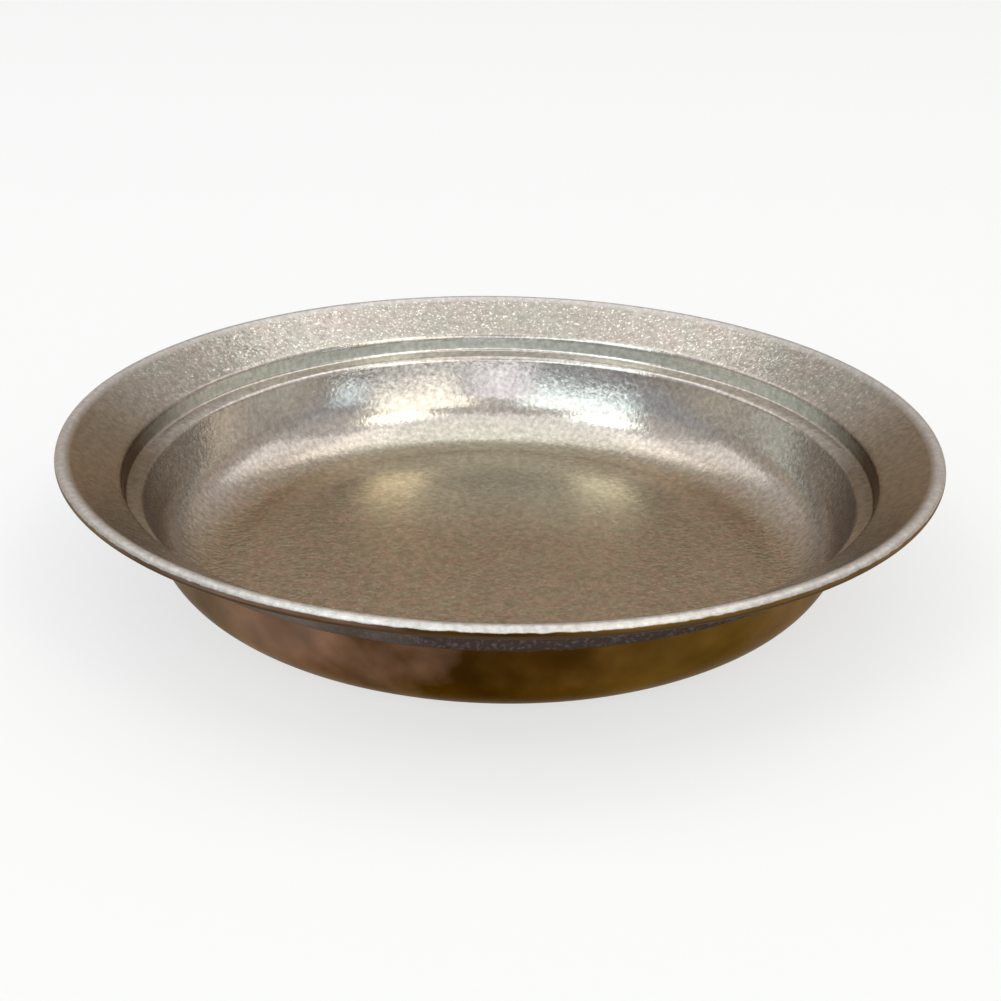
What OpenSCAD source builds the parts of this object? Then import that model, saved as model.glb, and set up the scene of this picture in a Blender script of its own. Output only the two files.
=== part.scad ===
// Round camping plate, pressed from one disc of thin frosted metal sheet.
// From the middle outwards: a flat floor, a wide bend up into the bowl's wall, a narrow ledge
// round the bowl's mouth, a short steep step, a sloping rim, and an edge rolled under into a
// hollow bead. Lengths are in millimetres and angles in degrees. The plate stands on z = 0,
// centred on the z axis. Sizes of bends, edges and diameters are given on the middle of the
// sheet, except where the comment says otherwise.

/* [Plate] */
// Outer diameter, over the rolled edge
plate_d = 200; // [190:1:230]
// Height from the table to the top of the rolled edge
plate_h = 34.5; // [33:0.5:46]
// Thickness of the sheet
sheet_t = 0.6; // [0.4:0.05:0.8]

/* [Bowl] */
// Diameter of the bowl's mouth, at the inner edge of the ledge
mouth_d = 164.4; // [140:0.2:168]
// Height of the mouth above the table
mouth_h = 21.2; // [20:0.1:26]
// How far the bowl's wall leans out from upright
wall_lean = 17; // [8:1:24]
// Radius of the bend from the floor to the wall
foot_bend = 17; // [12:0.1:20]

/* [Ledge and step] */
// Width of the ledge round the mouth, measured flat
ledge_w = 3.8; // [2.8:0.1:4.8]
// Height that the ledge climbs over its width
ledge_rise = 1; // [0.4:0.1:2]
// Width of the step outside the ledge, measured flat
step_w = 0.5; // [0.3:0.1:2]
// Height that the step climbs
step_rise = 4.3; // [3:0.1:5]
// Radius of the bends at the mouth, between ledge and step, and at the rim
crease_bend = 1.2; // [0.6:0.1:1.6]

/* [Rolled edge] */
// Outside diameter of the roll
roll_d = 2.8; // [2.4:0.1:4]
// How far round the sheet is rolled under
roll_turn = 270; // [200:5:275]

/* [Hidden] */

// Farthest that a short straight facet may lie from a bend's true arc
arc_tolerance = 0.015;
// Widest angle that one facet of a bend may take
widest_facet = 10;
// Facets round the plate
$fn = 180;

half_t = sheet_t / 2;
roll_bend = roll_d / 2 - half_t;
roll_centre = [plate_d / 2 - roll_d / 2, plate_h - roll_d / 2];

// Corners that the sheet would have without its bends, as [radius, height]
mouth = [mouth_d / 2, mouth_h];
foot = [mouth.x - (mouth_h - half_t) * tan(wall_lean), half_t];
step_foot = mouth + [ledge_w, ledge_rise];
step_top = step_foot + [step_w, step_rise];

// The rim runs from the top of the step, straight, to where it just touches the roll
to_roll = roll_centre - step_top;
rim_slope = atan2(to_roll.y, to_roll.x) + asin(roll_bend / norm(to_roll));
rim_end = roll_centre + roll_bend * [-sin(rim_slope), cos(rim_slope)];

// Direction from one corner to the next, in degrees above level
function heading(from, to) = atan2(to.y - from.y, to.x - from.x);

// Number of facets that carry a bend of radius r through an angle
function facets(r, angle) =
    ceil(abs(angle) / min(widest_facet, 2 * acos(1 - arc_tolerance / r)));

// Points of a bend that starts at a point with a heading and turns by an angle, to the left
// where the angle is positive. Each point is [radius, height, heading].
function bend(start, from, turn, r) =
    let (side = sign(turn),
         centre = start + side * r * [-sin(from), cos(from)],
         count = facets(r, turn))
    [for (i = [0 : count])
        let (now = from + turn * i / count,
             spot = centre + side * r * [sin(now), -cos(now)])
        [spot.x, spot.y, now]];

// The bend that rounds a corner between its two neighbours
function rounded(before, corner, after, r) =
    let (from = heading(before, corner),
         turn = heading(corner, after) - from,
         setback = r * tan(abs(turn) / 2))
    bend(corner - setback * [cos(from), sin(from)], from, turn, r);

// Middle line of the sheet, from the centre of the floor to the end of the roll
centre_line = concat(
    [[0, half_t, 0]],
    rounded([0, half_t], foot, mouth, foot_bend),
    rounded(foot, mouth, step_foot, crease_bend),
    rounded(mouth, step_foot, step_top, crease_bend),
    rounded(step_foot, step_top, rim_end, crease_bend),
    bend(rim_end, rim_slope, -roll_turn, roll_bend));

// A face of the sheet: the middle line moved sideways, to its left where the shift is positive
function face(shift) =
    [for (p = centre_line) [p.x - shift * sin(p.z), p.y + shift * cos(p.z)]];

// Outline of the sheet cut from the axis to the edge: out along the underside, back along the top
function backwards(list) = [for (i = [len(list) - 1 : -1 : 0]) list[i]];
sheet_outline = concat(face(-half_t), backwards(face(half_t)));

module plate() {
    color([0.66, 0.62, 0.56])
    rotate_extrude()
        polygon(sheet_outline);
}

plate();
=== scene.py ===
import math

import bpy
from mathutils import Matrix, Vector, noise


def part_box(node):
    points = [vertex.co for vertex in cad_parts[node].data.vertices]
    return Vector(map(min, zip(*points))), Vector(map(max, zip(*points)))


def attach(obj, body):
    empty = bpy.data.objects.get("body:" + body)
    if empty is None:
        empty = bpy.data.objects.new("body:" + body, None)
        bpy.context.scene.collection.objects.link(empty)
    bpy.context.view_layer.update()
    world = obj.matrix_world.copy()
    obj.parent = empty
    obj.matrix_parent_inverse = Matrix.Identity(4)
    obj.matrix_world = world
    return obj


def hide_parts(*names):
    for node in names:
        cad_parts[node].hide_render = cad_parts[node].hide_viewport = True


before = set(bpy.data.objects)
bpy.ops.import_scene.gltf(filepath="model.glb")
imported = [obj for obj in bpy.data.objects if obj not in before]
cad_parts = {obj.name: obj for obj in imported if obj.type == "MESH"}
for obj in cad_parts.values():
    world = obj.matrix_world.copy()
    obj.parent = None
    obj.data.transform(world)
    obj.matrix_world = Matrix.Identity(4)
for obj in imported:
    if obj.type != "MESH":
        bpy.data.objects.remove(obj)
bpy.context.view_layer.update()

MM = 0.001

# The view. The plate is seen from about an arm's length, a little above its rim, through a
# short portrait lens that points just below the middle of the rim.
low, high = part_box("plate")
plate_r = high[0]
plate_h = high[2]
roll_r = 1.4 * MM

view_distance = 360 * MM
view_above = math.radians(21.35)
view_below_rim = math.radians(2.787)
view_aside = math.radians(0.034)
view_roll = math.radians(1.0)
view_angle = math.radians(35.754)

rim_middle = Vector((0, 0, plate_h - roll_r))
eye = rim_middle + view_distance * Vector((0, -math.cos(view_above), math.sin(view_above)))
ahead = (rim_middle - eye).normalized()
right = Vector((1, 0, 0))
up = right.cross(ahead)
ahead = ahead * math.cos(view_below_rim) - up * math.sin(view_below_rim)
up = right.cross(ahead)
ahead = ahead * math.cos(view_aside) + right * math.sin(view_aside)
right = ahead.cross(up)
right, up = (right * math.cos(view_roll) + up * math.sin(view_roll),
             up * math.cos(view_roll) - right * math.sin(view_roll))
facing = Matrix((right, up, -ahead)).transposed().to_4x4()

camera = bpy.data.objects.new("camera", bpy.data.cameras.new("camera"))
camera.data.sensor_width = 36
camera.data.angle = view_angle
camera.matrix_world = Matrix.Translation(eye) @ facing
bpy.context.collection.objects.link(camera)
bpy.context.scene.camera = camera
bpy.context.scene.view_settings.view_transform = "Standard"


# The sheet. One disc of thin titanium is pressed into floor, bowl, ledge, step and rim, and
# its edge is rolled under by a wheel. It has the same thickness everywhere, and its wall
# bulges out by a hair. The inside is frosted; the outside is left satin, and its dark browns
# are painted reflection and shade.
sheet_t = 0.6 * MM
mouth_r = 82.2 * MM
mouth_h = 21.2 * MM
wall_lean = math.radians(17)
foot_bend = 17 * MM
belly_out = 0.4 * MM
belly_below_mouth = 5 * MM
belly_bend = 80 * MM
ledge = Vector((3.8 * MM, 1.0 * MM))
step = Vector((0.5 * MM, 4.3 * MM))
crease_bend = 1.2 * MM
roll_turn = math.radians(270)

# Its corners before they are rounded, as distance from the axis and height
half_t = sheet_t / 2
roll_bend = roll_r - half_t
roll_centre = Vector((plate_r - roll_r, plate_h - roll_r))
axis_foot = Vector((0, half_t))
mouth = Vector((mouth_r, mouth_h))
foot = Vector((mouth_r - (mouth_h - half_t) * math.tan(wall_lean), half_t))
up_wall = (mouth - foot).normalized()
out_of_wall = Vector((up_wall.y, -up_wall.x))
belly = mouth - up_wall * belly_below_mouth + out_of_wall * belly_out
step_foot = mouth + ledge
step_top = step_foot + step
to_roll = roll_centre - step_top
rim_slope = math.atan2(to_roll.y, to_roll.x) + math.asin(roll_bend / to_roll.length)
rim_end = roll_centre + roll_bend * Vector((-math.sin(rim_slope), math.cos(rim_slope)))


def run(start, end, pieces):
    """Points of a straight run with its heading, without its last point."""
    line = end - start
    heading = math.atan2(line.y, line.x)
    return [(start + line * (i / pieces), heading) for i in range(pieces)]


def bend(start, heading, turn, radius, pieces):
    """Points of a bend with their headings; a positive turn is to the left."""
    side = math.copysign(1, turn)
    centre = start + side * radius * Vector((-math.sin(heading), math.cos(heading)))
    spots = []
    for i in range(pieces + 1):
        now = heading + turn * i / pieces
        spots.append((centre + side * radius * Vector((math.sin(now), -math.cos(now))), now))
    return spots


def rounded(before, corner, after, radius, pieces):
    """The bend that rounds a corner between its two neighbours."""
    into = corner - before
    out = after - corner
    heading = math.atan2(into.y, into.x)
    turn = math.atan2(out.y, out.x) - heading
    start = corner - into.normalized() * radius * math.tan(abs(turn) / 2)
    return bend(start, heading, turn, radius, pieces)


# Each bend from the middle outwards, and the pieces of the straight run before it
bends = [
    (48, rounded(axis_foot, foot, belly, foot_bend, 40)),
    (2, rounded(foot, belly, mouth, belly_bend, 12)),
    (2, rounded(belly, mouth, step_foot, crease_bend, 8)),
    (4, rounded(mouth, step_foot, step_top, crease_bend, 8)),
    (4, rounded(step_foot, step_top, rim_end, crease_bend, 8)),
    (16, bend(rim_end, rim_slope, -roll_turn, roll_bend, 48)),
]
middle_line = []
reached = axis_foot
for pieces, bent in bends:
    middle_line += run(reached, bent[0][0], pieces) + bent[:-1]
    reached = bent[-1][0]
middle_line.append(bends[-1][1][-1])
middle_line = middle_line[1:]

turns = 480
wave = 0.05 * MM
wave_length = 30 * MM
ripple = 0.012 * MM
ripple_length = 7 * MM
ripple_start = Vector((3, 7, 1))

# Where each finish and painted tone goes over into the next: by distance from the axis, by the way
# that the sheet heads on the roll, and by height at the step
worn_from, worn_to = roll_centre.x - 2.0 * MM, roll_centre.x - 0.6 * MM
# where the roll turns under, its inner face takes the outside's painted reflection, and then the
# painted shade line under the bead
outer_from, outer_to = math.radians(-45), math.radians(-95)
under_bead_from, under_bead_to = math.radians(-88), math.radians(-112)
scuff_from, scuff_to = mouth.y - 2.2 * MM, mouth.y - 0.2 * MM
step_band_from, step_band_to = step_foot.y + half_t, step_foot.y + 3 * half_t
step_end_from, step_end_to = step_top.y - 3 * half_t, step_top.y - half_t


def smooth(low_end, high_end, value):
    """0 before the low end, 1 past the high end and a soft rise between them."""
    share = min(1, max(0, (value - low_end) / (high_end - low_end)))
    return share * share * (3 - 2 * share)


def worked(spot, heading, angle, shift):
    """A point of one face at an angle round the plate, with the press's unevenness."""
    place = Vector((spot.x * math.cos(angle), spot.x * math.sin(angle), spot.y))
    lift = noise.noise(place / wave_length) * wave
    lift += noise.noise(place / ripple_length + ripple_start) * ripple
    if shift < 0:
        lift *= smooth(foot.x - foot_bend, foot.x, spot.x)
    lift += shift
    r = spot.x - lift * math.sin(heading)
    z = spot.y + lift * math.cos(heading)
    return Vector((r * math.cos(angle), r * math.sin(angle), z))


def finishes(spot, heading, is_outside):
    """How much of each finish and painted tone the sheet has at a point of its section."""
    before_roll = spot.x < roll_centre.x - roll_r
    below_rim = 1 - smooth(step_end_from, step_end_to, spot.y)
    scuffed_and_lit = smooth(scuff_from, scuff_to, spot.y) * below_rim * before_roll
    step_band = smooth(step_band_from, step_band_to, spot.y) * below_rim * before_roll
    return {
        # the outer face carries the painted reflection and shade of the outside
        "outer_face": 1 if is_outside else smooth(outer_from, outer_to, heading),
        # the band at the outside step: scuff flecks, with painted light
        "scuffed_and_lit": scuffed_and_lit if is_outside else 0,
        "step_band": 0 if is_outside else step_band,
        "worn": 0 if is_outside else smooth(worn_from, worn_to, spot.x),
        # painted shade under the bead
        "under_bead_shade": 0 if is_outside else smooth(under_bead_from, under_bead_to, heading),
    }


def lathe():
    """The whole sheet as one closed mesh: both faces, and the raw edge inside the roll."""
    points = []
    rings = []
    finish = {name: [] for name in finishes(axis_foot, 0, False)}
    for shift, line in ((half_t, middle_line), (-half_t, middle_line[::-1])):
        for spot, heading in line:
            rings.append(range(len(points), len(points) + turns))
            for k in range(turns):
                points.append(worked(spot, heading, 2 * math.pi * k / turns, shift))
            for name, value in finishes(spot, heading, shift < 0).items():
                finish[name] += [value] * turns
    faces = []
    for inner, outer in zip(rings, rings[1:]):
        for k in range(turns):
            n = (k + 1) % turns
            faces.append((inner[k], outer[k], outer[n], inner[n]))
    top, bottom = len(points), len(points) + 1
    points.append(worked(axis_foot, 0, 0, half_t))
    points.append(worked(axis_foot, 0, 0, -half_t))
    for name, values in finish.items():
        values += [0, 1 if name == "outer_face" else 0]
    for k in range(turns):
        n = (k + 1) % turns
        faces.append((top, rings[0][k], rings[0][n]))
        faces.append((bottom, rings[-1][n], rings[-1][k]))
    mesh = bpy.data.meshes.new("plate_sheet")
    mesh.from_pydata(points, [], faces)
    for name, values in finish.items():
        mesh.attributes.new(name, "FLOAT", "POINT").data.foreach_set("value", values)
    for face in mesh.polygons:
        face.use_smooth = True
    return mesh


sheet = bpy.data.objects.new("plate_sheet", lathe())
bpy.context.collection.objects.link(sheet)
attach(sheet, "root")
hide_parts("plate")

# Colours of the frost inside with its painted glints, reflection and shade, of the step and the
# bead, and of the outside, whose dark browns are painted reflection and shade
frost_rose = (0.328, 0.284, 0.252, 1)
frost_olive = (0.302, 0.285, 0.248, 1)
frost_steel = (0.410, 0.372, 0.340, 1)
frost_brown = (0.295, 0.210, 0.152, 1)
frost_moss = (0.270, 0.219, 0.150, 1)
# painted reflection of the lit wall on the back of the floor
painted_floor_reflection = (0.430, 0.405, 0.330, 1)
# painted shade for the rim and the ledge at the sides
rim_side_shade = (0.215, 0.175, 0.138, 1)
ledge_side_shade = (0.150, 0.122, 0.096, 1)
# painted glints of the crystals
glint_white = (0.66, 0.64, 0.60, 1)
step_green = (0.56, 0.58, 0.55, 1)
bead_grey = (0.385, 0.355, 0.34, 1)
bead_white = (0.49, 0.465, 0.45, 1)
# Painted reflection and shade of the outside: dark browns for a brown table under the plate and
# its shadow, darkest at the front middle
painted_brown_reflection = (0.165, 0.115, 0.085, 1)
painted_copper_reflection = (0.275, 0.150, 0.098, 1)
painted_dark_reflection = (0.055, 0.023, 0.003, 1)
painted_olive_reflection = (0.140, 0.074, 0.016, 1)
painted_sand_reflection = (0.175, 0.100, 0.045, 1)
# painted shade: the dark line under the bead
painted_shade_under_bead = (0.070, 0.048, 0.032, 1)
# the band at the outside step: painted light, lighter to the left, with grey scuff flecks
lit_scuff = (0.145, 0.118, 0.102, 1)
shaded_scuff = (0.052, 0.036, 0.032, 1)
fleck_grey = (0.12, 0.10, 0.095, 1)
warm_edge = (0.66, 0.56, 0.45, 1)

# How wide the patches of each texture are
crystal = 0.6 * MM
glint_size = 0.7 * MM
fleck = 0.8 * MM
peel = 1.1 * MM
bead_patch = 1.2 * MM
grain = 1.4 * MM
scuff_border = 1.6 * MM
outer_border = 2.5 * MM
floor_patch = 3.5 * MM
sheen_patch = 4 * MM
frost_patch = 11 * MM
reflection_drift = 12 * MM
reflection_patch = 14 * MM

peel_depth = 0.24 * MM
outside_metal = 0.84

frosted = bpy.data.materials.new("frosted_titanium")
frosted.use_nodes = True
tree = frosted.node_tree
shader = tree.nodes["Principled BSDF"]
shader.inputs["Specular Tint"].default_value = warm_edge


def node(kind, inputs, **settings):
    """A node of the tree in hand, with its settings made and its inputs linked or set."""
    made = tree.nodes.new(kind)
    for name, value in settings.items():
        setattr(made, name, value)
    for name, value in inputs.items():
        if isinstance(value, bpy.types.NodeSocket):
            tree.links.new(value, made.inputs[name])
        else:
            made.inputs[name].default_value = value
    return made


def sums(operation, first, second=0.0):
    """The result of one sum on numbers."""
    return node("ShaderNodeMath", {0: first, 1: second}, operation=operation).outputs[0]


def vectors(operation, inputs):
    """The result of one sum on directions or colours."""
    return node("ShaderNodeVectorMath", inputs, operation=operation).outputs[0]


def reach(value, from_low, from_high, to_low=0.0, to_high=1.0):
    """A value carried from one range to another, and held at its ends."""
    return node("ShaderNodeMapRange", {"Value": value, "From Min": from_low, "From Max": from_high,
                                       "To Min": to_low, "To Max": to_high}).outputs["Result"]


def blend(share, first, second):
    """A colour that goes from the first to the second."""
    return node("ShaderNodeMix", {0: share, 6: first, 7: second}, data_type="RGBA").outputs[2]


def number(share, first, second):
    """A number that goes from the first to the second."""
    return node("ShaderNodeMix", {0: share, 2: first, 3: second}).outputs[0]


def finish_of(name):
    """Where the mesh says that the sheet has one of its finishes."""
    return node("ShaderNodeAttribute", {}, attribute_name=name).outputs["Fac"]


where = node("ShaderNodeTexCoord", {}).outputs["Object"]
place = node("ShaderNodeSeparateXYZ", {"Vector": where}).outputs
to_right, to_back, above_table = place["X"], place["Y"], place["Z"]
aside = sums("ABSOLUTE", to_right)


def cloud(size, detail):
    """Soft noise whose patches are about the given size."""
    return node("ShaderNodeTexNoise",
                {"Vector": where, "Scale": 1 / size, "Detail": detail}).outputs["Fac"]


def ragged(share, size):
    """A share whose soft border is broken up into patches of about the given size."""
    uneven = reach(cloud(size, 3), 0.25, 0.75, -0.18, 0.18)
    return reach(sums("ADD", share, uneven), 0.38, 0.62)


is_outer_face = ragged(finish_of("outer_face"), outer_border)
is_scuffed_and_lit = ragged(finish_of("scuffed_and_lit"), scuff_border)
is_step_band = finish_of("step_band")
is_worn = finish_of("worn")
is_under_bead_shade = finish_of("under_bead_shade")
on_floor = reach(above_table, 1.0 * MM, 6.0 * MM, 1.0, 0.0)
above_mouth = reach(above_table, mouth.y - 0.4 * MM, mouth.y + 0.3 * MM)
on_rim = reach(above_table, step_top.y, step_top.y + 1.0 * MM)

# Frost: each crystal leans its own way, the rim's at the back most of all. Under it lies a
# faint orange peel, which is deepest at the front of the floor.
lean_rim = reach(to_back, -10 * MM, 80 * MM, 0.05, 0.12)
lean_size = number(is_outer_face, number(on_rim, 0.035, lean_rim), 0.03)
lean_size = number(is_worn, lean_size, 0.04)
crystals = node("ShaderNodeTexVoronoi", {"Vector": where, "Scale": 1 / crystal})
spread = vectors("SUBTRACT", {0: crystals.outputs["Color"], 1: (0.5, 0.5, 0.5)})
lean = vectors("SCALE", {0: spread, "Scale": lean_size})
straight_out = node("ShaderNodeNewGeometry", {}).outputs["Normal"]
facet = vectors("NORMALIZE", {0: vectors("ADD", {0: straight_out, 1: lean})})
relief_floor = reach(to_back, 5 * MM, 42 * MM, 0.80, 0.15)
relief_depth = number(is_outer_face, number(on_floor, 0.22, relief_floor), 0.15)
relief = node("ShaderNodeBump", {"Strength": relief_depth, "Distance": peel_depth,
                                 "Height": cloud(peel, 3), "Normal": facet})
tree.links.new(relief.outputs["Normal"], shader.inputs["Normal"])

# Colour inside: steel grey bowl; brown and mossy floor with a painted reflection that makes its
# back middle lighter; rose and olive rim with white specks painted as glints, most at the back;
# painted shade on rim and ledge at the sides; green step; pale worn bead.
frost = blend(reach(cloud(frost_patch, 2), 0.35, 0.65), frost_rose, frost_olive)
frost = blend(on_rim, frost_steel, frost)
floor_frost = blend(reach(cloud(floor_patch, 3), 0.40, 0.60), frost_brown, frost_moss)
# Painted reflection: the floor turns lighter at its back middle, where it mirrors the lit wall.
floor_reflection_share = sums("MULTIPLY", reach(to_back, 6 * MM, 50 * MM),
                    reach(aside, 14 * MM, 62 * MM, 1.0, 0.0))
floor_frost = blend(floor_reflection_share, floor_frost, painted_floor_reflection)
frost = blend(on_floor, frost, floor_frost)
# Painted glints: white specks of the crystals, densest on the back of the rim where the overhead
# light falls.
glint_share = number(on_rim, 0.12, reach(to_back, -10 * MM, 80 * MM, 0.15, 0.80))
painted_glints = sums("MULTIPLY", reach(cloud(glint_size, 1), 0.60, 0.72), glint_share)
frost = blend(painted_glints, frost, glint_white)
# the band of the step inside gets a green-grey colour and its own roughness
frost = blend(is_step_band, frost, step_green)
# Painted shade: rim and ledge turn darker at the sides, most towards the front.
side_shade_share = sums("MULTIPLY", reach(aside, 55 * MM, 84 * MM),
                   reach(to_back, 2 * MM, 34 * MM, 1.0, 0.0))
side_shade_share = sums("MULTIPLY", side_shade_share, above_mouth)
frost = blend(side_shade_share, frost, blend(on_rim, ledge_side_shade, rim_side_shade))
frost = vectors("SCALE", {0: frost, "Scale": reach(cloud(grain, 3), 0.3, 0.7, 0.80, 1.20)})
bead = blend(reach(cloud(bead_patch, 4), 0.36, 0.64), bead_grey, bead_white)
frost = blend(is_worn, frost, bead)

# Colour outside: five dark tones of painted reflection and shade from left to right, each with the
# place where it starts and the place where it has taken over; a band at the step with scuff flecks
# and painted light, lighter to the left; a painted shade line under the bead.
sway = reach(cloud(reflection_drift, 3), 0.3, 0.7, -12 * MM, 12 * MM)
along = sums("ADD", to_right, sway)
# the painted reflection changes from left to right across the outside
painted_reflection = painted_brown_reflection
for starts, full, tone in ((-62 * MM, -38 * MM, painted_copper_reflection), (-43 * MM, -9 * MM, painted_dark_reflection),
                           (4 * MM, 40 * MM, painted_olive_reflection), (42 * MM, 66 * MM, painted_sand_reflection)):
    painted_reflection = blend(reach(along, starts, full), painted_reflection, tone)
painted_reflection = vectors("SCALE", {0: painted_reflection,
                           "Scale": reach(cloud(reflection_patch, 2), 0.3, 0.7, 0.65, 1.3)})
# the outside step band: painted light, lighter to the left, with flecks of scuffing on it
scuff_and_light = blend(reach(along, -44 * MM, -8 * MM), lit_scuff, shaded_scuff)
scuff_and_light = blend(reach(cloud(fleck, 3), 0.50, 0.75), scuff_and_light, fleck_grey)
painted_reflection = blend(is_scuffed_and_lit, painted_reflection, scuff_and_light)
# painted shade: a dark line under the bead, where the roll turns under
painted_reflection = blend(is_under_bead_shade, painted_reflection, painted_shade_under_bead)
tree.links.new(blend(is_outer_face, frost, painted_reflection), shader.inputs["Base Color"])

# Sheen: the bowl is the smoothest, the worn bead the dullest
rough_rim = reach(cloud(sheen_patch, 2), 0.3, 0.7, 0.22, 0.29)
roughness = number(on_rim, 0.17, rough_rim)
for share, how_rough in ((on_floor, 0.20), (is_step_band, 0.30), (is_worn, 0.45),
                         (is_outer_face, 0.36)):
    roughness = number(share, roughness, how_rough)
tree.links.new(roughness, shader.inputs["Roughness"])
tree.links.new(number(is_outer_face, outside_metal, 1.0), shader.inputs["Metallic"])
sheet.data.materials.append(frosted)


# The table. A pale, plain surface under the plate that keeps its soft shadow.
table_half = 6.0
table_gap = 0.02 * MM
table_grey = (0.78, 0.77, 0.76, 1)
glow_share = 0.66
white = (1.0, 1.0, 1.0, 1)

floor_mesh = bpy.data.meshes.new("floor")
floor_mesh.from_pydata([(x * table_half, y * table_half, -table_gap)
                        for x, y in ((-1, -1), (1, -1), (1, 1), (-1, 1))], [], [(0, 1, 2, 3)])
floor = bpy.data.objects.new("floor", floor_mesh)
bpy.context.collection.objects.link(floor)
pale = bpy.data.materials.new("pale_floor")
pale.use_nodes = True
tree = pale.node_tree
tree.nodes.clear()


def looked_at():
    """1 where a camera, a mirror or clear glass looks, and 0 where only light falls."""
    ray = node("ShaderNodeLightPath", {}).outputs
    seen = sums("MAXIMUM", ray["Is Camera Ray"], ray["Is Glossy Ray"])
    return sums("MAXIMUM", seen, ray["Is Transmission Ray"])


lit = node("ShaderNodeBsdfDiffuse", {"Color": table_grey}).outputs[0]
glow = node("ShaderNodeEmission", {"Color": white, "Strength": 1.0}).outputs[0]
share = reach(looked_at(), 0.0, 1.0, 0.0, glow_share)
both = node("ShaderNodeMixShader", {0: share, 1: lit, 2: glow}).outputs[0]
node("ShaderNodeOutputMaterial", {"Surface": both})
floor.data.materials.append(pale)


# The light. A warm and a cool window in front, a small bright lamp above each for the soft
# spots on the plate's floor, low haze between them, and wide dim boxes at the sides and
# overhead. Round them lies a pale room, cooler in front and lighter above.
def soft_box(name, turn, rise, distance, width, height, brightness, colour):
    """A lamp that faces the plate, turned from the front to the right and raised from level."""
    turn = math.radians(turn)
    rise = math.radians(rise)
    spot = distance * Vector((math.sin(turn) * math.cos(rise), -math.cos(turn) * math.cos(rise),
                              math.sin(rise)))
    light = bpy.data.lights.new(name, "AREA")
    light.shape = "RECTANGLE"
    light.size = width
    light.size_y = height
    light.energy = brightness * math.pi * width * height
    light.color = colour
    lamp = bpy.data.objects.new(name, light)
    lamp.location = spot
    lamp.rotation_euler = spot.to_track_quat("Z", "Y").to_euler()
    lamp.visible_camera = False
    bpy.context.collection.objects.link(lamp)


soft_box("warm_window", 32, 28, 4.0, 2.4, 2.3, 2.35, (1.0, 0.99, 0.86))
soft_box("cool_window", -31, 29, 4.0, 2.8, 2.2, 2.4, (0.80, 1.0, 1.03))
soft_box("warm_spot", 50, 51, 4.0, 1.2, 1.0, 5.2, (0.94, 0.99, 0.82))
soft_box("cool_spot", -50, 51, 4.0, 1.2, 1.0, 5.2, (0.84, 1.0, 0.96))
soft_box("blue_pane", 56, 10, 4.0, 0.7, 0.5, 2.4, (0.72, 0.92, 1.0))
soft_box("low_haze", 17, 5.3, 4.2, 4.8, 0.7, 1.3, (0.93, 1.0, 0.99))
soft_box("front_haze", 0, 18, 4.4, 1.5, 1.6, 1.6, (0.92, 0.92, 1.0))
soft_box("left_box", -108, 48, 4.0, 2.2, 3.2, 0.8, (1.0, 0.98, 0.97))
soft_box("right_box", 114, 50, 4.0, 2.2, 3.2, 0.85, (1.0, 0.98, 0.97))
soft_box("top_box", 0, 90, 3.6, 4.2, 4.2, 1.05, (0.93, 0.98, 1.0))

walls = (0.66, 0.57, 0.47, 1)
front_wall = (0.52, 0.58, 0.68, 1)
ceiling = (0.85, 0.83, 0.81, 1)
fill_colour = (1.0, 0.97, 0.94, 1)
fill_strength = 0.3

room = bpy.data.worlds.new("room")
bpy.context.scene.world = room
room.use_nodes = True
tree = room.node_tree
tree.nodes.clear()
direction = node("ShaderNodeTexCoord", {}).outputs["Generated"]
direction = node("ShaderNodeSeparateXYZ", {"Vector": direction}).outputs
painted = blend(reach(direction["Y"], -0.5, 0.3), front_wall, walls)
painted = blend(reach(direction["Z"], 0.26, 0.54), painted, ceiling)
backdrop = node("ShaderNodeBackground", {"Color": painted, "Strength": 1.0}).outputs[0]
fill = node("ShaderNodeBackground", {"Color": fill_colour, "Strength": fill_strength}).outputs[0]
both = node("ShaderNodeMixShader", {0: looked_at(), 1: fill, 2: backdrop}).outputs[0]
node("ShaderNodeOutputWorld", {"Surface": both})
